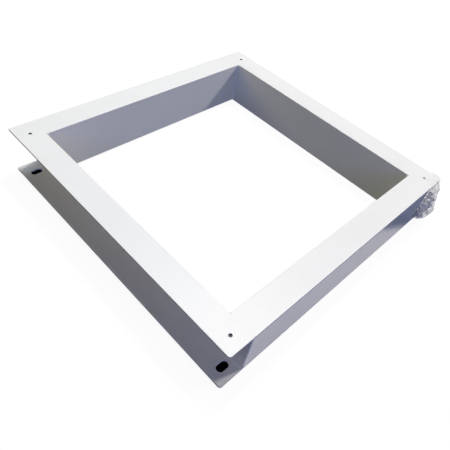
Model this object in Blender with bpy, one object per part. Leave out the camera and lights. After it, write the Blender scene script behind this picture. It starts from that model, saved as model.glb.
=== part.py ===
"""Welded steel base frame for a shop security gate, with its bag of fixings taped to one corner.

Four channel rails stand around a large opening. Each web faces the opening and each pair of
flanges points outwards, so the frame is an open channel on all four sides. The side rails run the
full depth, and the front and rear rails butt between their webs and are welded there.

X runs from the left rail to the right rail, Y from the front rail to the rear rail, Z up from the
floor. Lengths are in metres.
"""

import math

import bmesh
import bpy
from mathutils import Vector

# Frame
WIDTH = 0.620
DEPTH = 0.600
HEIGHT = 0.100
FLANGE = 0.050
WALL = 0.004
OUTER_RADIUS = 0.0012
INNER_RADIUS = 0.003
FRONT_TIP_RADIUS = 0.005
REAR_TIP_RADIUS = 0.002
EDGE_BREAK = 0.0004
GAP = 0.0003

# Holes: the distances are from the frame's outer edges to the hole's centre
TOP_HOLE_DIAMETER = 0.006
TOP_HOLE_FROM_SIDE = 0.025
FRONT_RIGHT_HOLE_FROM_SIDE = 0.029
TOP_HOLE_FROM_FRONT = 0.0243
TOP_HOLE_FROM_REAR = 0.0345
SLOT_LENGTH = 0.023
SLOT_WIDTH = 0.014
SLOT_FROM_FRONT = 0.023
SLOT_FROM_REAR = 0.030
FRONT_SLOT_FROM_SIDE = 0.027
REAR_SLOT_FROM_SIDE = 0.025

# Welds
CORNER_WELD_LEG = 0.0036
CORNER_WELD_BULGE = 0.0004
CORNER_WELD_END = 0.002
SEAM_SINK = 0.0001
SEAM_GAP = 0.0002
SEAM_END = 0.0005

# Bag of fixings. Each section is its height, then how far it reaches inboard of the frame's right
# edge, outboard of it, forward of the front edge and back from it.
FILM = 0.0006
BAG_SECTIONS = (
    (0.0045, 0.036, -0.004, 0.005, 0.014),
    (0.0085, 0.040, 0.002, 0.009, 0.019),
    (0.0180, 0.043, 0.006, 0.018, 0.023),
    (0.0320, 0.044, 0.006, 0.024, 0.026),
    (0.0500, 0.045, 0.0055, 0.017, 0.029),
    (0.0670, 0.0455, 0.0055, 0.014, 0.029),
    (0.0800, 0.0455, 0.0045, 0.011, 0.029),
    (0.0900, 0.044, 0.003, 0.006, 0.026),
    (0.0955, 0.040, -0.002, 0.001, 0.021),
)
BAG_RING_POINTS = 28
BAG_SQUARENESS = 4.0

# Tape over the corner. Each station is a point on its front edge and one on its rear edge: X from
# the right edge, Y from the front edge and the height.
TAPE_THICKNESS = 0.0003
TAPE_COLUMNS = 4
TAPE_STATIONS = (
    ((-0.0430, 0.0006, 0.1003), (-0.0385, 0.0160, 0.1003)),
    ((-0.0020, 0.0006, 0.1003), (-0.0020, 0.0202, 0.1003)),
    ((0.0010, 0.0006, 0.1003), (0.0020, 0.0215, 0.1010)),
    ((0.0035, 0.0008, 0.0988), (0.0055, 0.0238, 0.1018)),
    ((0.0052, 0.0008, 0.0955), (0.0080, 0.0248, 0.1000)),
    ((0.0060, 0.0006, 0.0910), (0.0090, 0.0246, 0.0950)),
    ((0.0062, 0.0003, 0.0840), (0.0084, 0.0240, 0.0870)),
    ((0.0062, 0.0000, 0.0760), (0.0064, 0.0232, 0.0780)),
)

# Fixings in the bag
BOLT_DIAMETER = 0.010
BOLT_LENGTH = 0.025
BOLT_HEAD_ACROSS_CORNERS = 0.0188
BOLT_HEAD_HEIGHT = 0.0064
BOLT_TIP_CHAMFER = 0.001
WASHER_DIAMETER = 0.020
WASHER_THICKNESS = 0.002
SCREW_DIAMETER = 0.005
SCREW_LENGTH = 0.016
SCREW_HEAD_DIAMETER = 0.0095
SCREW_HEAD_HEIGHT = 0.0032
SCREW_TIP_SHARE = 0.75
SCREW_TIP_LENGTH = 0.000625

# The pan head's shape: shares of its radius and of its height, from its rim to its crown
SCREW_CROWN = ((1.0, 0.45), (0.85, 0.85), (0.55, 1.0))

# Where the fixings lie, from the frame's right edge and front edge. The bolts lie in two layers of
# two, heads at opposite ends, and the washers and screws on top of them.
BOLTS_MIDDLE = -0.0189
BOLT_ROWS = (-0.0055, 0.0093)
BOLT_HEIGHTS = (0.0205, 0.0341)
WASHERS = 4
WASHERS_PLACE = (-0.0285, 0.0020)
SCREWS_FOOT = -0.0170
SCREW_PLACES = ((-0.0080, 0.0), (0.0018, 0.0), (0.0116, 0.0), (0.0018, 0.0098))

# Two lengths that differ by less than this are the same
TOLERANCE = 1e-6

# Roundness
OUTER_ROUND_STEPS = 3
INNER_ROUND_STEPS = 4
CORNER_STEPS = 5
HOLE_SIDES = 32
SHAFT_SIDES = 20
BOLT_SIDES = 24
HEX_SIDES = 6
WELD_STEPS = 6
SMOOTH_ANGLE = math.radians(35.0)
SHARP_ANGLE = math.radians(50.0)
BUTT_INSET = 0.0012
CUT_MARGIN = 0.004

# The origin is on the floor, at the middle of the whole footprint, bag and tape included
FRONT_OVERHANG = max(section[3] for section in BAG_SECTIONS)
SIDE_OVERHANG = max(rear[0] for front, rear in TAPE_STATIONS) + TAPE_THICKNESS
FRAME_CENTRE = (-SIDE_OVERHANG / 2, FRONT_OVERHANG / 2, 0.0)

HALF_WIDTH = WIDTH / 2
HALF_DEPTH = DEPTH / 2
HALF_OPENING_X = HALF_WIDTH - FLANGE
HALF_OPENING_Y = HALF_DEPTH - FLANGE

PAINT = ("white_powder_coat", (0.83, 0.83, 0.85, 1.0), 0.42, 0.0, 1.0)
WELD_PAINT = ("painted_weld", (0.80, 0.80, 0.82, 1.0), 0.48, 0.0, 1.0)
CLEAR_FILM = ("clear_film", (0.80, 0.82, 0.85, 1.0), 0.18, 0.0, 0.35)
CLEAR_TAPE = ("clear_tape", (0.86, 0.86, 0.84, 1.0), 0.22, 0.0, 0.35)
ZINC = ("zinc_plate", (0.62, 0.63, 0.65, 1.0), 0.32, 1.0, 1.0)


def clear_scene():
    """Removes the objects that Blender starts with."""
    for item in list(bpy.data.objects):
        bpy.data.objects.remove(item)


def material(finish):
    """The Principled material of one finish, made once."""
    name, colour, roughness, metallic, alpha = finish
    found = bpy.data.materials.get(name)
    if found:
        return found
    made = bpy.data.materials.new(name)
    made.use_nodes = True
    shader = made.node_tree.nodes["Principled BSDF"]
    shader.inputs["Base Color"].default_value = colour
    shader.inputs["Roughness"].default_value = roughness
    shader.inputs["Metallic"].default_value = metallic
    shader.inputs["Alpha"].default_value = alpha
    return made


def empty(name, parent, location):
    """A named point that pieces hang from."""
    made = bpy.data.objects.new(name, None)
    bpy.context.scene.collection.objects.link(made)
    made.parent = parent
    made.location = location
    return made


def piece(name, shape, finish, parent, location=(0.0, 0.0, 0.0), rotation=(0.0, 0.0, 0.0)):
    """Turns a bmesh into a named object, smooth over its rounds and sharp at its edges."""
    bmesh.ops.recalc_face_normals(shape, faces=shape.faces)
    mesh = bpy.data.meshes.new(name)
    shape.to_mesh(mesh)
    shape.free()
    mesh.shade_smooth()
    mesh.set_sharp_from_angle(angle=SMOOTH_ANGLE)
    mesh.materials.append(material(finish))
    made = bpy.data.objects.new(name, mesh)
    bpy.context.scene.collection.objects.link(made)
    made.parent = parent
    made.location = location
    made.rotation_euler = rotation
    return made


def arc(centre, radius, start, end, steps):
    """Points on an arc, with both ends. The angles are in degrees."""
    points = []
    for step in range(steps + 1):
        angle = math.radians(start + (end - start) * step / steps)
        points.append((centre[0] + radius * math.cos(angle), centre[1] + radius * math.sin(angle)))
    return points


def prism(shape, outline, low, high, place):
    """Extrudes a flat outline from low to high. place turns (a, b, along) into a point."""
    corners = [shape.verts.new(place(a, b, low)) for a, b in outline]
    face = shape.faces.new(corners)
    grown = bmesh.ops.extrude_face_region(shape, geom=[face])
    moved = [item for item in grown["geom"] if isinstance(item, bmesh.types.BMVert)]
    shift = Vector(place(0.0, 0.0, high)) - Vector(place(0.0, 0.0, low))
    bmesh.ops.translate(shape, vec=shift, verts=moved)


def channel_outline():
    """The rail's section: X away from the opening, Z up, web at X = 0."""
    outer, inner = OUTER_RADIUS, INNER_RADIUS
    nook = WALL + inner
    outline = [(FLANGE, 0.0)]
    outline += arc((outer, outer), outer, 270, 180, OUTER_ROUND_STEPS)
    outline += arc((outer, HEIGHT - outer), outer, 180, 90, OUTER_ROUND_STEPS)
    outline += [(FLANGE, HEIGHT), (FLANGE, HEIGHT - WALL)]
    outline += arc((nook, HEIGHT - nook), inner, 90, 180, INNER_ROUND_STEPS)
    outline += arc((nook, nook), inner, 180, 270, INNER_ROUND_STEPS)
    outline += [(FLANGE, WALL)]
    return outline


def rail_shape(length):
    """A channel rail along Y, centred on the origin."""
    shape = bmesh.new()
    prism(shape, channel_outline(), -length / 2, length / 2, lambda a, b, s: (a, s, b))
    return shape


def round_tips(shape, end, radius):
    """Rounds the two flange corners of a rail at one end, given as that end's Y."""
    corners = []
    for edge in shape.edges:
        middle = (edge.verts[0].co + edge.verts[1].co) / 2
        at_tip = abs(middle.x - FLANGE) < TOLERANCE and abs(middle.y - end) < TOLERANCE
        if at_tip and abs(edge.calc_length() - WALL) < TOLERANCE:
            corners.append(edge)
    bmesh.ops.bevel(
        shape,
        geom=corners,
        offset=radius,
        offset_type="OFFSET",
        segments=CORNER_STEPS,
        profile=0.5,
        affect="EDGES",
    )


def slot_outline(length, width):
    """A slot with round ends, long along X. A slot as long as it is wide is a circle."""
    reach = (length - width) / 2
    half = HOLE_SIDES // 2
    right = arc((reach, 0.0), width / 2, -90, 90, half)
    left = arc((-reach, 0.0), width / 2, 90, 270, half)
    if reach == 0.0:
        return right[:-1] + left[:-1]
    return right + left


def hole_cutter(name, rail, x, y, length, width, low, high):
    """A hidden cutter through one flange, in the rail's own directions."""
    shape = bmesh.new()
    outline = slot_outline(length, width)
    prism(shape, outline, low, high, lambda a, b, s: (x + a, y + b, s))
    cutter = piece(name, shape, PAINT, rail.parent, rail.location, rail.rotation_euler)
    cutter.hide_render = True
    cutter.display_type = "WIRE"
    cut = rail.modifiers.new(name, "BOOLEAN")
    cut.operation = "DIFFERENCE"
    cut.solver = "EXACT"
    cut.object = cutter


def soften(rail):
    """Breaks the rail's sharp edges, as its paint does."""
    bevel = rail.modifiers.new("edge_break", "BEVEL")
    bevel.width = EDGE_BREAK
    bevel.segments = 1
    bevel.limit_method = "ANGLE"
    bevel.angle_limit = SHARP_ANGLE


def side_rail(name, frame, side):
    """A full-depth rail with its two top holes and two floor slots. side is -1 left, 1 right."""
    turn = 0.0 if side > 0 else math.pi
    location = (side * HALF_OPENING_X, 0.0, 0.0)
    shape = rail_shape(DEPTH)
    round_tips(shape, -side * HALF_DEPTH, FRONT_TIP_RADIUS)
    round_tips(shape, side * HALF_DEPTH, REAR_TIP_RADIUS)
    rail = piece(name, shape, PAINT, frame, location, (0.0, 0.0, turn))
    hole_ends = {
        "front": -side * (HALF_DEPTH - TOP_HOLE_FROM_FRONT),
        "rear": side * (HALF_DEPTH - TOP_HOLE_FROM_REAR),
    }
    slot_ends = {
        "front": -side * (HALF_DEPTH - SLOT_FROM_FRONT),
        "rear": side * (HALF_DEPTH - SLOT_FROM_REAR),
    }
    slot_insets = {"front": FRONT_SLOT_FROM_SIDE, "rear": REAR_SLOT_FROM_SIDE}
    for end in ("front", "rear"):
        diameter = TOP_HOLE_DIAMETER
        across = FLANGE - TOP_HOLE_FROM_SIDE
        if side > 0 and end == "front":
            across = FLANGE - FRONT_RIGHT_HOLE_FROM_SIDE
        low, high = HEIGHT - WALL - CUT_MARGIN, HEIGHT + CUT_MARGIN
        hole = f"{name}_{end}_hole"
        hole_cutter(hole, rail, across, hole_ends[end], diameter, diameter, low, high)
        across = FLANGE - slot_insets[end]
        low, high = -CUT_MARGIN, WALL + CUT_MARGIN
        slot = f"{name}_{end}_slot"
        hole_cutter(slot, rail, across, slot_ends[end], SLOT_LENGTH, SLOT_WIDTH, low, high)
    soften(rail)


def cross_rail(name, frame, end):
    """A rail that butts between the side rails' webs. end is -1 front, 1 rear."""
    length = 2 * (HALF_OPENING_X - BUTT_INSET)
    location = (0.0, end * HALF_OPENING_Y, 0.0)
    turn = end * math.pi / 2
    rail = piece(name, rail_shape(length), PAINT, frame, location, (0.0, 0.0, turn))
    soften(rail)


def corner_weld(name, frame, side, end):
    """The upright fillet where two webs meet in a corner of the opening."""
    shape = bmesh.new()
    leg = CORNER_WELD_LEG
    outline = [(GAP, GAP), (leg, GAP)]
    for step in range(1, WELD_STEPS):
        share = step / WELD_STEPS
        bulge = CORNER_WELD_BULGE * math.sin(math.pi * share) / math.sqrt(2)
        outline.append((leg + (GAP - leg) * share + bulge, GAP + (leg - GAP) * share + bulge))
    outline.append((GAP, leg))
    low, high = CORNER_WELD_END, HEIGHT - CORNER_WELD_END
    prism(shape, outline, low, high, lambda a, b, s: (-side * a, -end * b, s))
    location = (side * HALF_OPENING_X, end * HALF_OPENING_Y, 0.0)
    piece(name, shape, WELD_PAINT, frame, location)


def seam_weld(name, frame, side, end, top):
    """The ground weld that fills the joint between a side rail and a cross rail's flange end."""
    shape = bmesh.new()
    near, far = SEAM_GAP, BUTT_INSET - SEAM_GAP
    outline = [(near, -SEAM_SINK), (far, -SEAM_SINK), (far, SEAM_GAP - WALL), (near, SEAM_GAP - WALL)]
    face = HEIGHT if top else 0.0
    upward = 1.0 if top else -1.0
    low = end * (HALF_DEPTH - SEAM_END)
    high = end * (HALF_OPENING_Y + OUTER_RADIUS)
    edge = side * HALF_OPENING_X
    prism(shape, outline, low, high, lambda a, b, s: (edge - side * a, s, face + upward * b))
    piece(name, shape, WELD_PAINT, frame)


def bag_ring(section, shrink):
    """One level of the bag: a squarish closed curve in plan, shrunk by the film for its inside."""
    height, inboard, outboard, forward, back = section
    low_x, high_x = HALF_WIDTH - inboard, HALF_WIDTH + outboard
    low_y, high_y = -HALF_DEPTH - forward, -HALF_DEPTH + back
    middle_x, middle_y = (low_x + high_x) / 2, (low_y + high_y) / 2
    half_x, half_y = (high_x - low_x) / 2 - shrink, (high_y - low_y) / 2 - shrink
    power = 2.0 / BAG_SQUARENESS
    points = []
    for step in range(BAG_RING_POINTS):
        angle = 2 * math.pi * step / BAG_RING_POINTS
        cosine, sine = math.cos(angle), math.sin(angle)
        x = middle_x + half_x * math.copysign(abs(cosine) ** power, cosine)
        y = middle_y + half_y * math.copysign(abs(sine) ** power, sine)
        points.append((x, y, height))
    return points


def fixings_bag(frame):
    """The clear bag: a thin shell, open at its mouth under the flange."""
    shape = bmesh.new()
    rings = []
    for section in BAG_SECTIONS:
        rings.append([shape.verts.new(point) for point in bag_ring(section, 0.0)])
    for index, section in enumerate(reversed(BAG_SECTIONS)):
        lift = FILM if index == len(BAG_SECTIONS) - 1 else 0.0
        ring = [(x, y, z + lift) for x, y, z in bag_ring(section, FILM)]
        rings.append([shape.verts.new(point) for point in ring])
    for lower, upper in zip(rings, rings[1:]):
        for index in range(BAG_RING_POINTS):
            after = (index + 1) % BAG_RING_POINTS
            shape.faces.new((lower[index], lower[after], upper[after], upper[index]))
    shape.faces.new(rings[0])
    shape.faces.new(rings[-1])
    piece("fixings_bag", shape, CLEAR_FILM, frame)


def bag_tape(frame):
    """A clear tape strip from the top face, over the right edge and down the bag's side."""
    shape = bmesh.new()
    rows = []
    for front, rear in TAPE_STATIONS:
        row = []
        for column in range(TAPE_COLUMNS + 1):
            share = column / TAPE_COLUMNS
            offset = Vector(front).lerp(Vector(rear), share)
            row.append(shape.verts.new((HALF_WIDTH + offset.x, -HALF_DEPTH + offset.y, offset.z)))
        rows.append(row)
    for lower, upper in zip(rows, rows[1:]):
        for column in range(TAPE_COLUMNS):
            corners = (lower[column], upper[column], upper[column + 1], lower[column + 1])
            shape.faces.new(corners)
    tape = piece("bag_tape", shape, CLEAR_TAPE, frame)
    solid = tape.modifiers.new("thickness", "SOLIDIFY")
    solid.thickness = TAPE_THICKNESS
    solid.offset = 1.0


def turned(shape, profile, sides):
    """Revolves a profile of (radius, height) pairs about the Z axis."""
    rings = []
    for radius, height in profile:
        ring = []
        for step in range(sides):
            angle = 2 * math.pi * (step + 0.5) / sides
            point = (radius * math.cos(angle), radius * math.sin(angle), height)
            ring.append(shape.verts.new(point))
        rings.append(ring)
    for lower, upper in zip(rings, rings[1:]):
        for step in range(sides):
            after = (step + 1) % sides
            shape.faces.new((lower[step], lower[after], upper[after], upper[step]))
    return rings


def loop_edges(ring):
    """The edges between neighbouring vertices of a closed ring."""
    found = []
    for index, vertex in enumerate(ring):
        after = ring[(index + 1) % len(ring)]
        for edge in vertex.link_edges:
            if edge.other_vert(vertex) is after:
                found.append(edge)
    return found


def floor_bolt(name, fixings, location, rotation):
    """A hex-head bolt, from its head's face upwards. Its hex head and round shank share one body."""
    shape = bmesh.new()
    head = BOLT_HEAD_ACROSS_CORNERS / 2
    radius = BOLT_DIAMETER / 2
    tip = BOLT_HEAD_HEIGHT + BOLT_LENGTH
    hexagon = turned(shape, ((head, 0.0), (head, BOLT_HEAD_HEIGHT)), HEX_SIDES)
    shank_profile = (
        (radius, BOLT_HEAD_HEIGHT),
        (radius, tip - BOLT_TIP_CHAMFER),
        (radius - BOLT_TIP_CHAMFER, tip),
    )
    shank = turned(shape, shank_profile, BOLT_SIDES)
    shape.faces.new(hexagon[0])
    shape.faces.new(shank[-1])
    bmesh.ops.bridge_loops(shape, edges=loop_edges(hexagon[1]) + loop_edges(shank[0]))
    piece(name, shape, ZINC, fixings, location, rotation)


def floor_washer(name, fixings, location):
    """A flat washer."""
    shape = bmesh.new()
    outer = WASHER_DIAMETER / 2
    inner = BOLT_DIAMETER / 2 + GAP
    profile = (
        (inner, 0.0),
        (outer, 0.0),
        (outer, WASHER_THICKNESS),
        (inner, WASHER_THICKNESS),
        (inner, 0.0),
    )
    rings = turned(shape, profile, HOLE_SIDES)
    bmesh.ops.remove_doubles(shape, verts=rings[0] + rings[-1], dist=TOLERANCE)
    piece(name, shape, ZINC, fixings, location)


def top_screw(name, fixings, location, rotation):
    """A pan-head machine screw for the top holes, from its tip to its head."""
    shape = bmesh.new()
    head = SCREW_HEAD_DIAMETER / 2
    radius = SCREW_DIAMETER / 2
    profile = [
        (radius * SCREW_TIP_SHARE, 0.0),
        (radius, SCREW_TIP_LENGTH),
        (radius, SCREW_LENGTH),
        (head, SCREW_LENGTH),
    ]
    for across, along in SCREW_CROWN:
        profile.append((head * across, SCREW_LENGTH + SCREW_HEAD_HEIGHT * along))
    rings = turned(shape, profile, SHAFT_SIDES)
    shape.faces.new(rings[0])
    shape.faces.new(rings[-1])
    piece(name, shape, ZINC, fixings, location, rotation)


def fixings_kit(frame):
    """The loose fixings at the bottom of the bag."""
    fixings = empty("fixings", frame, (HALF_WIDTH, -HALF_DEPTH, 0.0))
    half_bolt = (BOLT_HEAD_HEIGHT + BOLT_LENGTH) / 2
    number = 0
    for layer, height in enumerate(BOLT_HEIGHTS):
        for row, y in enumerate(BOLT_ROWS):
            number += 1
            head_side = -1.0 if (layer + row) % 2 == 0 else 1.0
            location = (BOLTS_MIDDLE + head_side * half_bolt, y, height)
            rotation = (0.0, -head_side * math.pi / 2, 0.0)
            floor_bolt(f"floor_bolt_{number}", fixings, location, rotation)
    head_half_flat = BOLT_HEAD_ACROSS_CORNERS / 2 * math.cos(math.pi / HEX_SIDES)
    top = BOLT_HEIGHTS[-1] + head_half_flat + GAP
    for number in range(1, WASHERS + 1):
        height = top + (number - 1) * (WASHER_THICKNESS + GAP)
        floor_washer(f"floor_washer_{number}", fixings, (*WASHERS_PLACE, height))
    for number, (y, raised) in enumerate(SCREW_PLACES, start=1):
        location = (SCREWS_FOOT, y, top + SCREW_HEAD_DIAMETER / 2 + raised)
        top_screw(f"top_screw_{number}", fixings, location, (0.0, math.pi / 2, 0.0))


def build():
    """Makes the whole object under one empty at the frame's own centre."""
    clear_scene()
    frame = empty("frame_centre", None, FRAME_CENTRE)
    side_rail("left_rail", frame, -1)
    side_rail("right_rail", frame, 1)
    cross_rail("front_rail", frame, -1)
    cross_rail("rear_rail", frame, 1)
    for end_name, end in (("front", -1), ("rear", 1)):
        for side_name, side in (("left", -1), ("right", 1)):
            corner = f"{end_name}_{side_name}"
            corner_weld(f"corner_weld_{corner}", frame, side, end)
            seam_weld(f"top_seam_weld_{corner}", frame, side, end, True)
            seam_weld(f"bottom_seam_weld_{corner}", frame, side, end, False)
    fixings_bag(frame)
    bag_tape(frame)
    fixings_kit(frame)


build()
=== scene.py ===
"""Looks for the welded base frame of a security gate and the bag of fixings taped to it.

The rails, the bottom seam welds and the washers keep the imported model's shapes and get their
finish here. The top seam welds, the corner welds, the bag, the tape, the bolts and the screws are
modelled again in finer detail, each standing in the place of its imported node. Lengths are in metres.
"""

import math
import random

import bmesh
import bpy
import numpy as np
from mathutils import Matrix, Vector, noise
from mathutils.bvhtree import BVHTree


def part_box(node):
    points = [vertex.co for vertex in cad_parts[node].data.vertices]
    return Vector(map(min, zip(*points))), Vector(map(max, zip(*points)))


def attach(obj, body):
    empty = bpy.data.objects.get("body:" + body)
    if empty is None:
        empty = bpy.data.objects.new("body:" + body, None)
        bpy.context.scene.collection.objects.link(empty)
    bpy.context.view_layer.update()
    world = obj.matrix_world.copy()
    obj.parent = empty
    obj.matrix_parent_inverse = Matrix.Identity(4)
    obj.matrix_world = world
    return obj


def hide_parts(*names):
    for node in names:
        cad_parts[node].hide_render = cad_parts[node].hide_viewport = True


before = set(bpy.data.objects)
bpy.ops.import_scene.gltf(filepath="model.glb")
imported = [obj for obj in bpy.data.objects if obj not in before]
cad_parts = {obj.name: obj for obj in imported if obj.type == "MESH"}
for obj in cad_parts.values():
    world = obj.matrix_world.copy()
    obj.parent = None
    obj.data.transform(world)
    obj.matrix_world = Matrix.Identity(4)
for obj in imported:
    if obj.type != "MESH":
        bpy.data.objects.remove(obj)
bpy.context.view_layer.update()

RAILS = ("left_rail", "right_rail", "front_rail", "rear_rail")
CORNERS = tuple(f"{end}_{side}" for end in ("front", "rear") for side in ("left", "right"))

LEFT_LOW, LEFT_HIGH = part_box("left_rail")
RIGHT_LOW, RIGHT_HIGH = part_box("right_rail")
CENTRE = Vector(((LEFT_LOW.x + RIGHT_HIGH.x) / 2, (LEFT_LOW.y + LEFT_HIGH.y) / 2, 0.0))
TOP = LEFT_HIGH.z
CORNER = Vector((RIGHT_HIGH.x, RIGHT_LOW.y, 0.0))

# Camera, from the frame's centre
CAMERA_PLACE = (-0.57243, -0.44229, 0.66542)
CAMERA_AZIMUTH = math.radians(-53.017)
CAMERA_ELEVATION = math.radians(46.707)
CAMERA_ROLL = math.radians(12.282)
CAMERA_LENS = 36.832

# Floor slots: side, end, then the distances from the frame's side edge and from its end edge
SLOTS = (
    ("left", "front", 0.027, 0.023),
    ("right", "front", 0.027, 0.023),
    ("left", "rear", 0.025, 0.030),
    ("right", "rear", 0.025, 0.030),
)

# How far the patch of painted shade on the floor under a slot reaches, along and across it
SLOT_REACH = (0.0160, 0.0110)

# Top holes whose walls get painted shade, near black, in the same form, all but the front right one.
# A ball marks each: how far below the top face it has its middle, and its radius
SHADED_HOLES = (
    ("left", "front", 0.025, 0.0243),
    ("left", "rear", 0.025, 0.0345),
    ("right", "rear", 0.025, 0.0345),
)
HOLE_SHADE_DEPTH = 0.0022
HOLE_SHADE_REACH = 0.0037
# Near-black colour of that painted shade
HOLE_SHADE_COLOUR = (0.10, 0.10, 0.10, 1.0)

# Stage
FLOOR_DROP = 0.0004
FLOOR_RADIUS = 6.0
BACKDROP_BEND = 3.0
BEND_STEPS = 12
FLOOR_SIDES = 64
SHADOW_SIDES = 24

# Lights: azimuth and elevation in degrees seen from the frame, distance, side, and red, green and
# blue watts
LIGHTS = (
    ("key", -22.0, 40.0, 4.0, 0.5, (69.0, 65.0, 61.5)),
    ("ceiling_front", 24.0, 68.0, 4.0, 0.5, (70.0, 67.0, 58.5)),
    ("ceiling_rear", 90.0, 72.0, 2.0, 0.8, (10.4, 11.9, 13.9)),
    ("low_rear", 135.0, 25.0, 2.0, 0.8, (5.5, 4.8, 2.3)),
    ("low_front", 225.0, 25.0, 2.0, 0.8, (1.8, 2.1, 4.5)),
)
SKY = (0.22, 0.25, 0.34)

# Powder coat
COAT_COLOUR = (0.84, 0.84, 0.85, 1.0)
# The corner welds' coat is lighter and bluer than the rails': a painted highlight for the light the
# beads catch
BEAD_HIGHLIGHT_COLOUR = (0.90, 0.93, 1.0, 1.0)
COAT_ROUGHNESS = 0.40
WELD_ROUGHNESS = COAT_ROUGHNESS + 0.04
COAT_DIMMING = 0.965
ORANGE_PEEL_SCALE = 330.0
ORANGE_PEEL_DEPTH = 0.00016
GRAIN_SCALE = 1100.0
GRAIN_DEPTH = 0.00002

# Plated steel and the clear plastics
ZINC_MOTTLE_SCALE = 240.0
ZINC_GRAIN_SCALE = 1500.0
ZINC_METALLIC = 0.25
CREASE_WHITE = (0.95, 0.96, 0.98, 1.0)
CREASE_DEPTH = 0.0006
RIPPLE_DEPTH = 0.0004

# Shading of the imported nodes, and of the pieces made here
MERGE = 0.00001
SHARP_ANGLE = math.radians(62.0)
WELD_SHARP_ANGLE = math.radians(40.0)
METAL_SHARP_ANGLE = math.radians(32.0)
FILM_SHARP_ANGLE = math.radians(55.0)
TAPE_SHARP_ANGLE = math.radians(60.0)

# Corner welds
BEAD_LEG = 0.0034
BEAD_GAP = 0.0003
BEAD_PITCH = 0.0026
BEAD_RIPPLE = 0.00012
BEAD_BULGE = 0.0002
BEAD_LEG_WANDER = 0.0003
BEAD_STEPS = 8
BEAD_ROWS = 150

# Seam welds in the top face: how far the paint over each spreads onto the cross rail and the side
# rail, how proud it stands, and how much its height wanders
SEAM_SPREAD = (0.0007, 0.0015)
SEAM_LIFT = 0.00002
SEAM_CROWN = 0.00008
SEAM_ROWS = 24

# Fixings in the bag: radii, and heights along each from its head's end, or back from its tip in
# BOLT_TIP
FIXINGS = 4
BOLTS_WITH_HEAD_LEFT = (1, 4)
BOLT_CORNER = 0.0094
BOLT_HEAD = 0.0064
BOLT_RADIUS = 0.0050
BOLT_PITCH = 0.0015
BOLT_THREAD_DEPTH = 0.0008
BOLT_PLAIN = 0.004
BOLT_HEAD_PROFILE = (
    (0.0078, 0.0),
    (0.0083, 0.0002),
    (BOLT_CORNER, 0.0011),
    (BOLT_CORNER, 0.0058),
    (0.0082, 0.0062),
)
BOLT_NECK_PROFILE = (
    (0.0078, BOLT_HEAD),
    (0.0053, BOLT_HEAD),
    (BOLT_RADIUS, 0.0068),
    (BOLT_RADIUS, BOLT_HEAD + BOLT_PLAIN),
)
BOLT_TIP_LENGTH = 0.0010
BOLT_TIP = ((0.0040, 0.0003), (0.0036, 0.0))
THREAD_LEAD = 0.0004
SCREW_RADIUS = 0.0025
SCREW_TIP_RADIUS = 0.0018
SCREW_PITCH = 0.0008
SCREW_THREAD_DEPTH = 0.0004
SCREW_THREAD_START = 0.0036
SCREW_TIP_LENGTH = 0.0008
SCREW_HEAD_PROFILE = (
    (0.0026, 0.0),
    (0.0034, 0.00025),
    (0.0042, 0.0007),
    (0.00475, 0.0017),
    (0.00475, 0.0031),
    (0.00455, 0.0032),
    (SCREW_RADIUS, 0.0032),
)
RECESS_CORE = 0.0007
RECESS_LOBE = 0.0015
RECESS_TAPER = 0.55
RECESS_DEPTH = 0.0016
THREAD_SIDES = 24
ROWS_PER_PITCH = 4

# Bag film
FILM_COLUMNS = 144
FILM_ROWS = 96
FILM_CAP_ROWS = 14
FILM_THICKNESS = 0.00012
FILM_CLEARANCE = 0.0005
FILM_EDGE = 0.0004
FILM_PUFF = 0.0022
FILM_END = 0.0008
FILM_BASE_LIFT = 0.0004
FILM_BASE_HOLE = 0.03
FILM_MOUTH_HOLE = 0.30
PLEAT_RISE = 0.0003
PLEAT_SAG = 0.0007
FILM_SPREAD = 3
RAY_REACH = 0.08
END_MARGIN = 0.0001

# Crumples: facets round the bag and up it, how far the grid leans, and how deep the valleys are
CRUMPLES = ((15, 7, 3.0, 0.0042), (25, 11, -4.0, 0.0018), (62, 34, 5.0, 0.0003))
CRUMPLE_SEED = 11

# Tape: each station is a point on its front edge and one on its rear edge, X from the frame's right
# edge, Y from its front edge and the height
TAPE_STATIONS = (
    ((-0.0430, 0.0006, 0.1003), (-0.0385, 0.0160, 0.1003)),
    ((-0.0020, 0.0006, 0.1003), (-0.0020, 0.0202, 0.1003)),
    ((0.0010, 0.0006, 0.1003), (0.0020, 0.0215, 0.1010)),
    ((0.0035, 0.0008, 0.0988), (0.0055, 0.0238, 0.1018)),
    ((0.0052, 0.0008, 0.0955), (0.0080, 0.0248, 0.1000)),
    ((0.0060, 0.0006, 0.0910), (0.0090, 0.0246, 0.0950)),
    ((0.0062, 0.0003, 0.0840), (0.0084, 0.0240, 0.0870)),
    ((0.0062, 0.0000, 0.0760), (0.0064, 0.0232, 0.0780)),
)
TAPE_ALONG = 96
TAPE_ACROSS = 28
TAPE_THICKNESS = 0.00008
TAPE_TOOTH = 0.0012
TAPE_TEETH = 9
TAPE_WRINKLE = 0.00035


# ---------------------------------------------------------------- camera and stage


def make_camera():
    """The camera at the photograph's place, turned by azimuth, elevation and roll."""
    azimuth, elevation, roll = CAMERA_AZIMUTH, CAMERA_ELEVATION, CAMERA_ROLL
    back = Vector((
        math.sin(azimuth) * math.cos(elevation),
        -math.cos(azimuth) * math.cos(elevation),
        math.sin(elevation),
    ))
    level = Vector((math.cos(azimuth), math.sin(azimuth), 0.0))
    upright = back.cross(level)
    right = level * math.cos(roll) + upright * math.sin(roll)
    up = upright * math.cos(roll) - level * math.sin(roll)
    turn = Matrix((right, up, back)).transposed().to_4x4()
    data = bpy.data.cameras.new("camera")
    data.sensor_width = 36.0
    data.lens = CAMERA_LENS
    data.clip_start = 0.02
    data.clip_end = 60.0
    camera = bpy.data.objects.new("camera", data)
    camera.matrix_world = Matrix.Translation(CENTRE + Vector(CAMERA_PLACE)) @ turn
    bpy.context.scene.collection.objects.link(camera)
    bpy.context.scene.camera = camera


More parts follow.
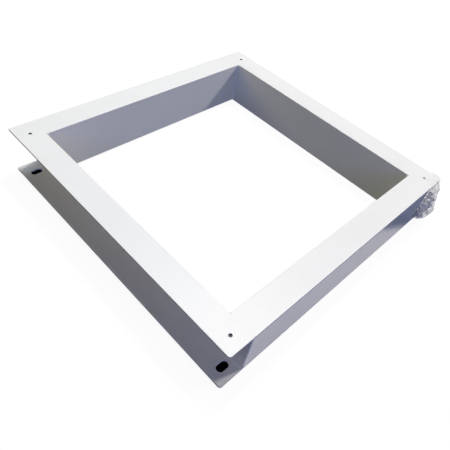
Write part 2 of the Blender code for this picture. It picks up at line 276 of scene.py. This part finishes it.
def make_light(name, azimuth, elevation, distance, side, watts):
    """A soft square light that faces the middle of the frame."""
    level = math.cos(math.radians(elevation))
    way = Vector((
        level * math.cos(math.radians(azimuth)),
        level * math.sin(math.radians(azimuth)),
        math.sin(math.radians(elevation)),
    ))
    data = bpy.data.lights.new(name, "AREA")
    data.shape = "SQUARE"
    data.size = side
    data.energy = max(watts)
    data.color = [channel / max(watts) for channel in watts]
    light = bpy.data.objects.new(name, data)
    light.location = CENTRE + way * distance
    light.rotation_euler = (-way).to_track_quat("-Z", "Y").to_euler()
    bpy.context.scene.collection.objects.link(light)


def make_world():
    """A dim bluish sky that brightens towards the front and is black behind."""
    world = bpy.data.worlds.new("studio")
    world.use_nodes = True
    bpy.context.scene.world = world
    tree = world.node_tree
    background = tree.nodes["Background"]
    where = tree.nodes.new("ShaderNodeTexCoord")
    split = tree.nodes.new("ShaderNodeSeparateXYZ")
    blend = tree.nodes.new("ShaderNodeMapRange")
    blend.inputs["From Min"].default_value = 0.0
    blend.inputs["From Max"].default_value = -1.0
    background.inputs["Color"].default_value = (*SKY, 1.0)
    tree.links.new(where.outputs["Generated"], split.inputs["Vector"])
    tree.links.new(split.outputs["Y"], blend.inputs["Value"])
    tree.links.new(blend.outputs["Result"], background.inputs["Strength"])


def stage_object(name, shape, material):
    """A stage piece: seen by the camera, but it lends the object no light or shade."""
    mesh = bpy.data.meshes.new(name)
    shape.to_mesh(mesh)
    shape.free()
    mesh.shade_smooth()
    mesh.materials.append(material)
    made = bpy.data.objects.new(name, mesh)
    bpy.context.scene.collection.objects.link(made)
    made.visible_diffuse = False
    made.visible_glossy = False
    made.visible_transmission = False
    made.visible_shadow = False


def flat_material(name, colour, glow):
    """A plain stage surface, part matt colour and part even glow."""
    made, tree, shader = new_material(name)
    shader.inputs["Base Color"].default_value = (*colour, 1.0)
    shader.inputs["Roughness"].default_value = 1.0
    shader.inputs["Specular IOR Level"].default_value = 0.0
    shader.inputs["Emission Color"].default_value = (1.0, 1.0, 1.0, 1.0)
    shader.inputs["Emission Strength"].default_value = glow
    return made


def make_floor():
    """A pale floor that curves up into a backdrop all round."""
    shape = bmesh.new()
    profile = [(0.0, 0.0), (FLOOR_RADIUS / 2, 0.0), (FLOOR_RADIUS, 0.0)]
    for step in range(1, BEND_STEPS + 1):
        angle = math.pi / 2 * step / BEND_STEPS
        profile.append((
            FLOOR_RADIUS + BACKDROP_BEND * math.sin(angle),
            BACKDROP_BEND * (1.0 - math.cos(angle)),
        ))
    profile.append((FLOOR_RADIUS + BACKDROP_BEND, 3 * BACKDROP_BEND))
    rings = []
    for radius, height in profile[1:]:
        ring = []
        for step in range(FLOOR_SIDES):
            angle = 2 * math.pi * step / FLOOR_SIDES
            place = (radius * math.cos(angle), radius * math.sin(angle), height - FLOOR_DROP)
            ring.append(shape.verts.new(place))
        rings.append(ring)
    shape.faces.new(rings[0])
    for lower, upper in zip(rings, rings[1:]):
        bridge(shape, lower, upper)
    bmesh.ops.recalc_face_normals(shape, faces=shape.faces)
    bmesh.ops.reverse_faces(shape, faces=shape.faces)
    stage_object("floor", shape, flat_material("pale_floor", (0.10, 0.10, 0.10), 0.93))


def frame_place(side, end, from_side, from_end):
    """The point at these distances from the frame's side and end edges."""
    x = LEFT_LOW.x + from_side if side == "left" else RIGHT_HIGH.x - from_side
    y = LEFT_LOW.y + from_end if end == "front" else LEFT_HIGH.y - from_end
    return Vector((x, y, 0.0))


def make_slot_shadows():
    """Painted shade: dark patches on the floor under the four slots, so that the floor seen through
    them is nearly black.
    """
    # Painted shade, near black, for the floor seen through the slots
    material = flat_material("painted_slot_shade", (0.004, 0.004, 0.006), 0.0)
    for side, end, from_side, from_end in SLOTS:
        middle = frame_place(side, end, from_side, from_end)
        shape = bmesh.new()
        ring = []
        for step in range(SHADOW_SIDES):
            angle = 2 * math.pi * step / SHADOW_SIDES
            across = SLOT_REACH[0] * math.cos(angle)
            along = SLOT_REACH[1] * math.sin(angle)
            place = (middle.x + across, middle.y + along, -FLOOR_DROP / 2)
            ring.append(shape.verts.new(place))
        shape.faces.new(ring)
        stage_object(f"slot_shadow_{end}_{side}", shape, material)


# ---------------------------------------------------------------- materials


def new_material(name):
    """An empty Principled material: (material, node tree, shader)."""
    made = bpy.data.materials.new(name)
    made.use_nodes = True
    tree = made.node_tree
    return made, tree, tree.nodes["Principled BSDF"]


def noise_node(tree, where, scale, detail=2.0, roughness=0.5):
    """A noise texture in the object's own metres."""
    node = tree.nodes.new("ShaderNodeTexNoise")
    node.inputs["Scale"].default_value = scale
    node.inputs["Detail"].default_value = detail
    node.inputs["Roughness"].default_value = roughness
    tree.links.new(where.outputs["Object"], node.inputs["Vector"])
    return node


def map_node(tree, source, low, high, from_low=0.3, from_high=0.7):
    """A value remapped to low..high."""
    node = tree.nodes.new("ShaderNodeMapRange")
    node.inputs["From Min"].default_value = from_low
    node.inputs["From Max"].default_value = from_high
    node.inputs["To Min"].default_value = low
    node.inputs["To Max"].default_value = high
    tree.links.new(source, node.inputs["Value"])
    return node.outputs["Result"]


def bump_node(tree, height, distance, before=None):
    """A bump of the given depth in metres, on top of an earlier one."""
    node = tree.nodes.new("ShaderNodeBump")
    node.inputs["Strength"].default_value = 1.0
    node.inputs["Distance"].default_value = distance
    tree.links.new(height, node.inputs["Height"])
    if before is not None:
        tree.links.new(before, node.inputs["Normal"])
    return node.outputs["Normal"]


def mix_colour(tree, factor, first, second):
    """Two colours mixed by a factor. The first may be another node's output."""
    node = tree.nodes.new("ShaderNodeMix")
    node.data_type = "RGBA"
    if isinstance(first, bpy.types.NodeSocket):
        tree.links.new(first, node.inputs["A"])
    else:
        node.inputs["A"].default_value = first
    node.inputs["B"].default_value = second
    tree.links.new(factor, node.inputs["Factor"])
    return node.outputs["Result"]


def powder_coat(name, colour, roughness, peel):
    """White powder coat: orange peel, a finer grain, faint patches of darker tone and gloss, and
    painted shade on the walls of three top holes.
    """
    made, tree, shader = new_material(name)
    where = tree.nodes.new("ShaderNodeTexCoord")
    patches = noise_node(tree, where, 9.0, 3.0)
    orange = noise_node(tree, where, ORANGE_PEEL_SCALE, 1.0, 0.4)
    grain = noise_node(tree, where, GRAIN_SCALE, 2.0)
    dimmer = (*(channel * COAT_DIMMING for channel in colour[:3]), 1.0)
    shade = map_node(tree, patches.outputs["Fac"], 0.0, 1.0)
    tint = mix_colour(tree, shade, colour, dimmer)
    # Painted shade: the walls of three top holes go near black
    tint = mix_colour(tree, hole_shade_mask(tree, where), tint, HOLE_SHADE_COLOUR)
    tree.links.new(tint, shader.inputs["Base Color"])
    gloss = map_node(tree, grain.outputs["Fac"], roughness - 0.04, roughness + 0.05)
    tree.links.new(gloss, shader.inputs["Roughness"])
    normal = bump_node(tree, orange.outputs["Fac"], ORANGE_PEEL_DEPTH * peel)
    normal = bump_node(tree, grain.outputs["Fac"], GRAIN_DEPTH * peel, normal)
    tree.links.new(normal, shader.inputs["Normal"])
    return made


def hole_shade_mask(tree, where):
    """Painted shade: 1 within a ball round each of three top holes, where the coat turns near black on
    the hole walls.
    """
    inside = None
    for side, end, from_side, from_end in SHADED_HOLES:
        middle = frame_place(side, end, from_side, from_end)
        away = tree.nodes.new("ShaderNodeVectorMath")
        away.operation = "DISTANCE"
        away.inputs[1].default_value = (middle.x, middle.y, TOP - HOLE_SHADE_DEPTH)
        tree.links.new(where.outputs["Object"], away.inputs[0])
        near = tree.nodes.new("ShaderNodeMath")
        near.operation = "LESS_THAN"
        near.inputs[1].default_value = HOLE_SHADE_REACH
        tree.links.new(away.outputs["Value"], near.inputs[0])
        if inside is None:
            inside = near.outputs[0]
        else:
            both = tree.nodes.new("ShaderNodeMath")
            both.operation = "MAXIMUM"
            tree.links.new(inside, both.inputs[0])
            tree.links.new(near.outputs[0], both.inputs[1])
            inside = both.outputs[0]
    return inside


def clear_plastic(name, colour, clear, haze, roughness, crease_scale, through):
    """Clear film: see-through, glossy and lit from behind, milkier in patches and creases."""
    made, tree, shader = new_material(name)
    where = tree.nodes.new("ShaderNodeTexCoord")
    creases = tree.nodes.new("ShaderNodeTexVoronoi")
    creases.feature = "DISTANCE_TO_EDGE"
    creases.inputs["Scale"].default_value = crease_scale
    tree.links.new(where.outputs["Object"], creases.inputs["Vector"])
    ripple = noise_node(tree, where, crease_scale * 2.2, 3.0, 0.6)
    patches = noise_node(tree, where, crease_scale * 0.5, 2.0)
    line = map_node(tree, creases.outputs["Distance"], 1.0, 0.0, 0.0, 0.12)
    milky = map_node(tree, patches.outputs["Fac"], 0.0, 0.5, 0.35, 0.75)
    cover = tree.nodes.new("ShaderNodeMath")
    cover.operation = "MAXIMUM"
    tree.links.new(line, cover.inputs[0])
    tree.links.new(milky, cover.inputs[1])
    seen = map_node(tree, cover.outputs[0], clear, haze, 0.0, 1.0)
    tint = mix_colour(tree, line, colour, CREASE_WHITE)
    tree.links.new(tint, shader.inputs["Base Color"])
    shader.inputs["Roughness"].default_value = roughness
    shader.inputs["Specular IOR Level"].default_value = 1.0
    normal = bump_node(tree, creases.outputs["Distance"], CREASE_DEPTH)
    normal = bump_node(tree, ripple.outputs["Fac"], RIPPLE_DEPTH, normal)
    tree.links.new(normal, shader.inputs["Normal"])
    glow = tree.nodes.new("ShaderNodeBsdfTranslucent")
    tree.links.new(tint, glow.inputs["Color"])
    lit = tree.nodes.new("ShaderNodeMixShader")
    lit.inputs["Fac"].default_value = through
    tree.links.new(shader.outputs["BSDF"], lit.inputs[1])
    tree.links.new(glow.outputs["BSDF"], lit.inputs[2])
    gap = tree.nodes.new("ShaderNodeBsdfTransparent")
    whole = tree.nodes.new("ShaderNodeMixShader")
    tree.links.new(seen, whole.inputs["Fac"])
    tree.links.new(gap.outputs["BSDF"], whole.inputs[1])
    tree.links.new(lit.outputs["Shader"], whole.inputs[2])
    tree.links.new(whole.outputs["Shader"], tree.nodes["Material Output"].inputs["Surface"])
    return made


def plated_steel(name, bright, dull, roughness):
    """Plated steel: mottled brightness, brushed grain and small stains."""
    made, tree, shader = new_material(name)
    where = tree.nodes.new("ShaderNodeTexCoord")
    mottle = noise_node(tree, where, ZINC_MOTTLE_SCALE, 4.0, 0.6)
    grain = noise_node(tree, where, ZINC_GRAIN_SCALE, 2.0)
    shade = map_node(tree, mottle.outputs["Fac"], 0.0, 1.0, 0.35, 0.65)
    tree.links.new(mix_colour(tree, shade, bright, dull), shader.inputs["Base Color"])
    gloss = map_node(tree, mottle.outputs["Fac"], roughness - 0.06, roughness + 0.12)
    tree.links.new(gloss, shader.inputs["Roughness"])
    shader.inputs["Metallic"].default_value = ZINC_METALLIC
    tree.links.new(bump_node(tree, grain.outputs["Fac"], GRAIN_DEPTH), shader.inputs["Normal"])
    return made


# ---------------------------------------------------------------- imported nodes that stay


def smoothing_group():
    """Geometry nodes that join a node's faces and shade its rounds smooth and its edges sharp."""
    group = bpy.data.node_groups.new("smooth_rounds", "GeometryNodeTree")
    group.interface.new_socket("Geometry", in_out="INPUT", socket_type="NodeSocketGeometry")
    group.interface.new_socket("Geometry", in_out="OUTPUT", socket_type="NodeSocketGeometry")
    source = group.nodes.new("NodeGroupInput")
    result = group.nodes.new("NodeGroupOutput")
    joined = group.nodes.new("GeometryNodeMergeByDistance")
    joined.inputs["Distance"].default_value = MERGE
    plain = group.nodes.new("GeometryNodeRemoveAttribute")
    plain.inputs["Name"].default_value = "custom_normal"
    angle = group.nodes.new("GeometryNodeInputMeshEdgeAngle")
    round_edge = group.nodes.new("FunctionNodeCompare")
    round_edge.operation = "LESS_THAN"
    round_edge.inputs["B"].default_value = SHARP_ANGLE
    faces = group.nodes.new("GeometryNodeSetShadeSmooth")
    faces.domain = "FACE"
    edges = group.nodes.new("GeometryNodeSetShadeSmooth")
    edges.domain = "EDGE"
    link = group.links.new
    link(source.outputs["Geometry"], joined.inputs["Geometry"])
    link(joined.outputs["Geometry"], plain.inputs["Geometry"])
    link(plain.outputs["Geometry"], faces.inputs["Geometry"])
    link(faces.outputs["Geometry"], edges.inputs["Geometry"])
    link(angle.outputs["Unsigned Angle"], round_edge.inputs["A"])
    link(round_edge.outputs["Result"], edges.inputs["Shade Smooth"])
    link(edges.outputs["Geometry"], result.inputs["Geometry"])
    return group


def finish_node(name, material, group):
    """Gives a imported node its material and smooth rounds. Its shape stays as it is."""
    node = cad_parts[name]
    node.data.materials.clear()
    node.data.materials.append(material)
    smooth = node.modifiers.new("smooth_rounds", "NODES")
    smooth.node_group = group
    weighted = node.modifiers.new("even_shading", "WEIGHTED_NORMAL")
    weighted.keep_sharp = True
    weighted.mode = "FACE_AREA"


# ---------------------------------------------------------------- pieces made here


def new_piece(name, shape, material, node, sharp_angle=WELD_SHARP_ANGLE):
    """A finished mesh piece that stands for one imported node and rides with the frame."""
    bmesh.ops.recalc_face_normals(shape, faces=shape.faces)
    mesh = bpy.data.meshes.new(name)
    shape.to_mesh(mesh)
    shape.free()
    mesh.shade_smooth()
    mesh.set_sharp_from_angle(angle=sharp_angle)
    mesh.materials.append(material)
    made = bpy.data.objects.new(name, mesh)
    bpy.context.scene.collection.objects.link(made)
    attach(made, "root")
    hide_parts(node)
    return made


def bridge(shape, lower, upper):
    """Quads between two closed rings of vertices."""
    count = len(lower)
    for index in range(count):
        after = (index + 1) % count
        shape.faces.new((lower[index], lower[after], upper[after], upper[index]))


def corner_bead(corner, material):
    """An upright fillet weld with the gentle ripple of its passes under the paint."""
    node = f"corner_weld_{corner}"
    low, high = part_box(node)
    x_sign = 1.0 if "left" in corner else -1.0
    y_sign = 1.0 if "front" in corner else -1.0
    root_x = (low.x if x_sign > 0 else high.x) - x_sign * BEAD_GAP
    root_y = (low.y if y_sign > 0 else high.y) - y_sign * BEAD_GAP
    shape = bmesh.new()
    rings = []
    for row in range(BEAD_ROWS + 1):
        height = low.z + (high.z - low.z) * row / BEAD_ROWS
        phase = height / BEAD_PITCH
        wobble = noise.noise(Vector((root_x * 40, root_y * 40, height * 90)))
        ripple = BEAD_RIPPLE * (abs(math.sin(math.pi * phase)) + 0.6 * wobble)
        leg = BEAD_LEG + BEAD_LEG_WANDER * (wobble - 1.0)
        ring = [(BEAD_GAP, BEAD_GAP)]
        for step in range(BEAD_STEPS + 1):
            share = step / BEAD_STEPS
            bulge = (BEAD_BULGE + ripple) * math.sin(math.pi * share)
            ring.append((
                leg + (BEAD_GAP - leg) * share + bulge,
                BEAD_GAP + (leg - BEAD_GAP) * share + bulge,
            ))
        placed = [(root_x + x_sign * a, root_y + y_sign * b, height) for a, b in ring]
        rings.append([shape.verts.new(point) for point in placed])
    for lower, upper in zip(rings, rings[1:]):
        bridge(shape, lower, upper)
    shape.faces.new(rings[0])
    shape.faces.new(rings[-1])
    new_piece(f"corner_bead_{corner}", shape, material, node)


def seam_cap(corner, material):
    """A ground weld in the top face: its root between the rails and the paint that bridges them."""
    node = f"top_seam_weld_{corner}"
    low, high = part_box(node)
    inward = 1.0 if "left" in corner else -1.0
    side_x, cross_x = (low.x, high.x) if inward > 0 else (high.x, low.x)
    side_lip = side_x - inward * SEAM_SPREAD[1]
    cross_lip = cross_x + inward * SEAM_SPREAD[0]
    shape = bmesh.new()
    rings = []
    for row in range(SEAM_ROWS + 1):
        y = low.y + (high.y - low.y) * row / SEAM_ROWS
        crown = TOP + SEAM_CROWN * (0.7 + 0.3 * noise.noise(Vector((side_x * 9, y * 300, 0.0))))
        profile = (
            (side_lip, TOP + SEAM_LIFT / 2),
            (side_lip, TOP + SEAM_LIFT),
            (side_x, crown),
            (cross_x, crown),
            (cross_lip, TOP + SEAM_LIFT),
            (cross_lip, TOP + SEAM_LIFT / 2),
            (cross_x, TOP + SEAM_LIFT / 2),
            (cross_x, low.z),
            (side_x, low.z),
            (side_x, TOP + SEAM_LIFT / 2),
        )
        rings.append([shape.verts.new((x, y, z)) for x, z in profile])
    for lower, upper in zip(rings, rings[1:]):
        bridge(shape, lower, upper)
    shape.faces.new(rings[0])
    shape.faces.new(rings[-1])
    new_piece(f"seam_cap_{corner}", shape, material, node)


def thread_rings(shape, start, end, radius, depth, pitch, place):
    """Rings of a helical thread from height start to height end."""
    rings = []
    rows = max(2, round((end - start) / pitch * ROWS_PER_PITCH))
    for row in range(rows + 1):
        height = start + (end - start) * row / rows
        fade = min(1.0, (height - start) / pitch, (end - height) / pitch + 0.35)
        ring = []
        for side in range(THREAD_SIDES):
            angle = 2 * math.pi * side / THREAD_SIDES
            turn = (height / pitch - side / THREAD_SIDES) % 1.0
            groove = depth * fade * abs(2.0 * turn - 1.0)
            reach = radius - groove
            point = (reach * math.cos(angle), reach * math.sin(angle), height)
            ring.append(shape.verts.new(place(point)))
        rings.append(ring)
    return rings


def round_ring(shape, radius, height, place):
    """A plain ring of vertices."""
    ring = []
    for side in range(THREAD_SIDES):
        angle = 2 * math.pi * side / THREAD_SIDES
        point = (radius * math.cos(angle), radius * math.sin(angle), height)
        ring.append(shape.verts.new(place(point)))
    return ring


def hex_ring(shape, trim, height, place):
    """A ring of vertices on the bolt head's hexagon, cut in to at most the trim radius."""
    ring = []
    flat = BOLT_CORNER * math.cos(math.pi / 6)
    for side in range(THREAD_SIDES):
        angle = 2 * math.pi * side / THREAD_SIDES
        within = (angle + math.pi / 6) % (math.pi / 3) - math.pi / 6
        reach = min(flat / math.cos(within), trim)
        point = (reach * math.cos(angle), reach * math.sin(angle), height)
        ring.append(shape.verts.new(place(point)))
    return ring


def lying_place(node, head_left):
    """Turns a piece's own heights, from its head's end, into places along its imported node."""
    low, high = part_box(node)
    middle = (low + high) / 2
    along = 1.0 if head_left else -1.0
    foot = low.x if head_left else high.x

    def place(point):
        return Vector((foot + along * point[2], middle.y + along * point[1], middle.z - point[0]))

    return place, high.x - low.x


def hex_bolt(number, material):
    """A hex-head bolt with a chamfered head, a washer face, a plain neck and a rolled thread."""
    node = f"floor_bolt_{number}"
    place, length = lying_place(node, number in BOLTS_WITH_HEAD_LEFT)
    shape = bmesh.new()
    rings = [hex_ring(shape, trim, height, place) for trim, height in BOLT_HEAD_PROFILE]
    rings += [round_ring(shape, radius, height, place) for radius, height in BOLT_NECK_PROFILE]
    start, end = BOLT_HEAD + BOLT_PLAIN + THREAD_LEAD, length - BOLT_TIP_LENGTH
    rings += thread_rings(shape, start, end, BOLT_RADIUS, BOLT_THREAD_DEPTH, BOLT_PITCH, place)
    rings += [round_ring(shape, radius, length - back, place) for radius, back in BOLT_TIP]
    for lower, upper in zip(rings, rings[1:]):
        bridge(shape, lower, upper)
    shape.faces.new(rings[0])
    shape.faces.new(rings[-1])
    new_piece(f"hex_bolt_{number}", shape, material, node, METAL_SHARP_ANGLE)


def pan_screw(number, material):
    """A pan-head screw with a crossed recess and a fine thread. Its head is on the right."""
    node = f"top_screw_{number}"
    place, length = lying_place(node, False)
    shape = bmesh.new()
    rings = [round_ring(shape, radius, height, place) for radius, height in SCREW_HEAD_PROFILE]
    start, end = SCREW_THREAD_START, length - SCREW_TIP_LENGTH
    rings += thread_rings(shape, start, end, SCREW_RADIUS, SCREW_THREAD_DEPTH, SCREW_PITCH, place)
    rings.append(round_ring(shape, SCREW_TIP_RADIUS, length, place))
    for lower, upper in zip(rings, rings[1:]):
        bridge(shape, lower, upper)
    shape.faces.new(rings[-1])
    cross = []
    for side in range(THREAD_SIDES):
        angle = 2 * math.pi * side / THREAD_SIDES
        lobe = math.cos(2 * angle) ** 4
        reach = RECESS_CORE + RECESS_LOBE * lobe
        cross.append((reach * math.cos(angle), reach * math.sin(angle)))
    mouth = [shape.verts.new(place((x, y, 0.0))) for x, y in cross]
    deep = [(x * RECESS_TAPER, y * RECESS_TAPER, RECESS_DEPTH) for x, y in cross]
    floor = [shape.verts.new(place(point)) for point in deep]
    bridge(shape, rings[0], mouth)
    bridge(shape, mouth, floor)
    shape.faces.new(floor)
    new_piece(f"pan_screw_{number}", shape, material, node, METAL_SHARP_ANGLE)


# ---------------------------------------------------------------- bag and tape


def surface_tree(names):
    """A ray-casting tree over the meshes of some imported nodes."""
    points, faces = [], []
    for name in names:
        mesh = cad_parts[name].data
        first = len(points)
        points += [vertex.co.copy() for vertex in mesh.vertices]
        faces += [[first + index for index in face.vertices] for face in mesh.polygons]
    return BVHTree.FromPolygons(points, faces)


def crumple_depths():
    """Depth of the film's crumples at every row and column: flat facets between sharp creases."""
    chance = random.Random(CRUMPLE_SEED)
    depths = np.zeros((FILM_ROWS + 1, FILM_COLUMNS))
    for around, upward, lean, size in CRUMPLES:
        grid = [[chance.random() ** 1.4 for _ in range(around)] for _ in range(upward + 2)]
        for row in range(FILM_ROWS + 1):
            v = row / FILM_ROWS * upward
            low = int(v)
            for column in range(FILM_COLUMNS):
                u = column / FILM_COLUMNS * around + lean * row / FILM_ROWS
                left = math.floor(u)
                across, along = u - left, v - low
                near, far = left % around, (left + 1) % around
                if across + along < 1.0:
                    base = grid[low][near]
                    rise = (grid[low][far] - base) * across + (grid[low + 1][near] - base) * along
                else:
                    base = grid[low + 1][far]
                    rise = (grid[low + 1][near] - base) * (1.0 - across)
                    rise += (grid[low][far] - base) * (1.0 - along)
                depths[row, column] += size * (base + rise)
    return depths


def film_radii(skin, contents, centre_at, low_z, high_z):
    """How far the bag's skin and its contents reach from its middle, at every row and column."""
    outer = np.zeros((FILM_ROWS + 1, FILM_COLUMNS))
    inner = np.zeros((FILM_ROWS + 1, FILM_COLUMNS))
    for row in range(FILM_ROWS + 1):
        middle = centre_at(low_z + (high_z - low_z) * row / FILM_ROWS)
        for column in range(FILM_COLUMNS):
            angle = 2 * math.pi * column / FILM_COLUMNS
            way = Vector((math.cos(angle), math.sin(angle), 0.0))
            start = middle + way * RAY_REACH
            hit = skin.ray_cast(start, -way)[0]
            outer[row, column] = (hit - middle).length if hit else 0.0
            hit = contents.ray_cast(start, -way, RAY_REACH)[0]
            inner[row, column] = (hit - middle).length if hit else 0.0
    spread = inner.copy()
    for rows in range(-FILM_SPREAD, FILM_SPREAD + 1):
        for columns in range(-FILM_SPREAD, FILM_SPREAD + 1):
            shifted = np.roll(inner, columns, axis=1)
            shifted = np.roll(shifted, rows, axis=0)
            if rows > 0:
                shifted[:rows] = 0.0
            if rows < 0:
                shifted[rows:] = 0.0
            spread = np.maximum(spread, shifted)
    return outer, spread


def film_bag(material):
    """The crumpled clear bag: film drawn in between the fixings and gathered at its mouth."""
    node = "fixings_bag"
    low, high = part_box(node)
    skin = surface_tree([node])
    contents = surface_tree([
        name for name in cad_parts
        if name.startswith(("floor_bolt", "floor_washer", "top_screw"))
    ])
    points = [vertex.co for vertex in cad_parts[node].data.vertices]
    foot = [point for point in points if point.z < low.z + END_MARGIN]
    head = [point for point in points if point.z > high.z - END_MARGIN]
    foot_middle = sum(foot, Vector()) / len(foot)
    head_middle = sum(head, Vector()) / len(head)

    def centre_at(height):
        share = (height - low.z) / (high.z - low.z)
        middle = foot_middle.lerp(head_middle, share)
        return Vector((middle.x, middle.y, height))

    low_z, high_z = low.z + FILM_END, high.z - FILM_END
    outer, inner = film_radii(skin, contents, centre_at, low_z, high_z)
    depths = crumple_depths()
    shape = bmesh.new()
    rings = []
    for row in range(FILM_ROWS + 1):
        height = low_z + (high_z - low_z) * row / FILM_ROWS
        middle = centre_at(height)
        ring = []
        for column in range(FILM_COLUMNS):
            angle = 2 * math.pi * column / FILM_COLUMNS
            way = Vector((math.cos(angle), math.sin(angle), 0.0))
            full = outer[row, column] - FILM_EDGE
            reach = full + FILM_PUFF * max(0.0, way.x, -way.y) - depths[row, column]
            reach = max(reach, min(full, inner[row, column] + FILM_CLEARANCE))
            ring.append(middle + way * reach)
        rings.append(ring)
    base_z = low.z + FILM_BASE_LIFT
    base = cap_rings(rings[0], centre_at(base_z), FILM_BASE_HOLE, base_z, PLEAT_RISE, 0.0)
    mouth = cap_rings(rings[-1], centre_at(high.z), FILM_MOUTH_HOLE, high.z, 0.0, PLEAT_SAG)
    placed = [[shape.verts.new(p) for p in ring] for ring in base[::-1] + rings + mouth]
    for lower, upper in zip(placed, placed[1:]):
        bridge(shape, lower, upper)
    shape.faces.new(placed[0])
    made = new_piece("film_bag", shape, material, node, FILM_SHARP_ANGLE)
    solid = made.modifiers.new("film", "SOLIDIFY")
    solid.thickness = FILM_THICKNESS
    solid.offset = 0.0


def cap_rings(ring, middle, smallest, height, rises, sags):
    """Rings that close an end of the bag in pleats, from a ring of points towards the middle.

    The last ring is smallest times the first. Each pleat rises or sags by at most that length.
    """
    made = []
    for row in range(1, FILM_CAP_ROWS + 1):
        share = row / FILM_CAP_ROWS
        scale = 1.0 - (1.0 - smallest) * share
        level = []
        for index, point in enumerate(ring):
            pleat = noise.noise(Vector((index * 0.31, share * 2.0, height * 50.0)))
            away = (point - middle) * scale * (1.0 + 0.05 * pleat * share)
            edge = (point.z - height) * (1.0 - share) ** 2
            lift = rises * abs(pleat) - sags * abs(pleat) * share
            level.append(Vector((middle.x + away.x, middle.y + away.y, height + edge + lift)))
        made.append(level)
    return made


def spline_point(points, along):
    """A point on a Catmull-Rom curve through the points, at 0 to 1 along it."""
    spans = len(points) - 1
    place = min(along * spans, spans - 1e-6)
    index = int(place)
    t = place - index
    p0 = points[max(index - 1, 0)]
    p1, p2 = points[index], points[index + 1]
    p3 = points[min(index + 2, spans)]
    return 0.5 * (
        2 * p1 + (p2 - p0) * t + (2 * p0 - 5 * p1 + 4 * p2 - p3) * t * t
        + (3 * p1 - p0 - 3 * p2 + p3) * t * t * t
    )


def film_tape(material):
    """The clear tape: cut with teeth at both ends, flat on the steel and puckered past the edge."""
    fronts = [CORNER + Vector(front) for front, rear in TAPE_STATIONS]
    rears = [CORNER + Vector(rear) for front, rear in TAPE_STATIONS]
    shape = bmesh.new()
    rows = []
    for step in range(TAPE_ALONG + 1):
        along = step / TAPE_ALONG
        front, rear = spline_point(fronts, along), spline_point(rears, along)
        row = []
        for column in range(TAPE_ACROSS + 1):
            across = column / TAPE_ACROSS
            point = front.lerp(rear, across)
            tooth = abs((across * TAPE_TEETH) % 1.0 - 0.5) * TAPE_TOOTH
            if step == 0:
                point.x += tooth
            if step == TAPE_ALONG:
                point.z += tooth
            loose = min(1.0, max(0.0, (along - 0.10) * 5.0))
            pucker = noise.noise(Vector((across * 5.0, along * 16.0, 4.2)))
            point.z += TAPE_WRINKLE * loose * (pucker + 0.4) if point.x > CORNER.x else 0.0
            point.x += TAPE_WRINKLE * loose * pucker
            row.append(shape.verts.new(point))
        rows.append(row)
    for lower, upper in zip(rows, rows[1:]):
        for column in range(TAPE_ACROSS):
            shape.faces.new((lower[column], upper[column], upper[column + 1], lower[column + 1]))
    made = new_piece("film_tape", shape, material, "bag_tape", TAPE_SHARP_ANGLE)
    solid = made.modifiers.new("film", "SOLIDIFY")
    solid.thickness = TAPE_THICKNESS
    solid.offset = 1.0


# ---------------------------------------------------------------- the whole scene


def build():
    """Makes the camera, the stage, the finishes and the detailed pieces."""
    scene = bpy.context.scene
    scene.view_settings.view_transform = "Standard"
    scene.view_settings.look = "None"
    make_camera()
    make_world()
    for light in LIGHTS:
        make_light(*light)
    make_floor()
    make_slot_shadows()

    coat = powder_coat("powder_coat", COAT_COLOUR, COAT_ROUGHNESS, 1.0)
    weld_coat = powder_coat("weld_coat", COAT_COLOUR, WELD_ROUGHNESS, 0.8)
    # The corner welds get a lighter, bluer coat as a painted highlight
    bead_highlight_coat = powder_coat("bead_highlight_coat", BEAD_HIGHLIGHT_COLOUR, WELD_ROUGHNESS, 0.8)
    zinc = plated_steel("zinc", (0.93, 0.94, 0.98, 1.0), (0.70, 0.71, 0.75, 1.0), 0.40)
    film = clear_plastic("film", (0.95, 0.95, 1.0, 1.0), 0.11, 0.46, 0.09, 70.0, 0.85)
    tape = clear_plastic("tape", (0.90, 0.90, 0.90, 1.0), 0.05, 0.13, 0.18, 45.0, 0.3)

    group = smoothing_group()
    for name in RAILS:
        finish_node(name, coat, group)
    for corner in CORNERS:
        seam_cap(corner, weld_coat)
        finish_node(f"bottom_seam_weld_{corner}", weld_coat, group)
        corner_bead(corner, bead_highlight_coat)
    for number in range(1, FIXINGS + 1):
        finish_node(f"floor_washer_{number}", zinc, group)
        hex_bolt(number, zinc)
        pan_screw(number, zinc)
    film_bag(film)
    film_tape(tape)


build()
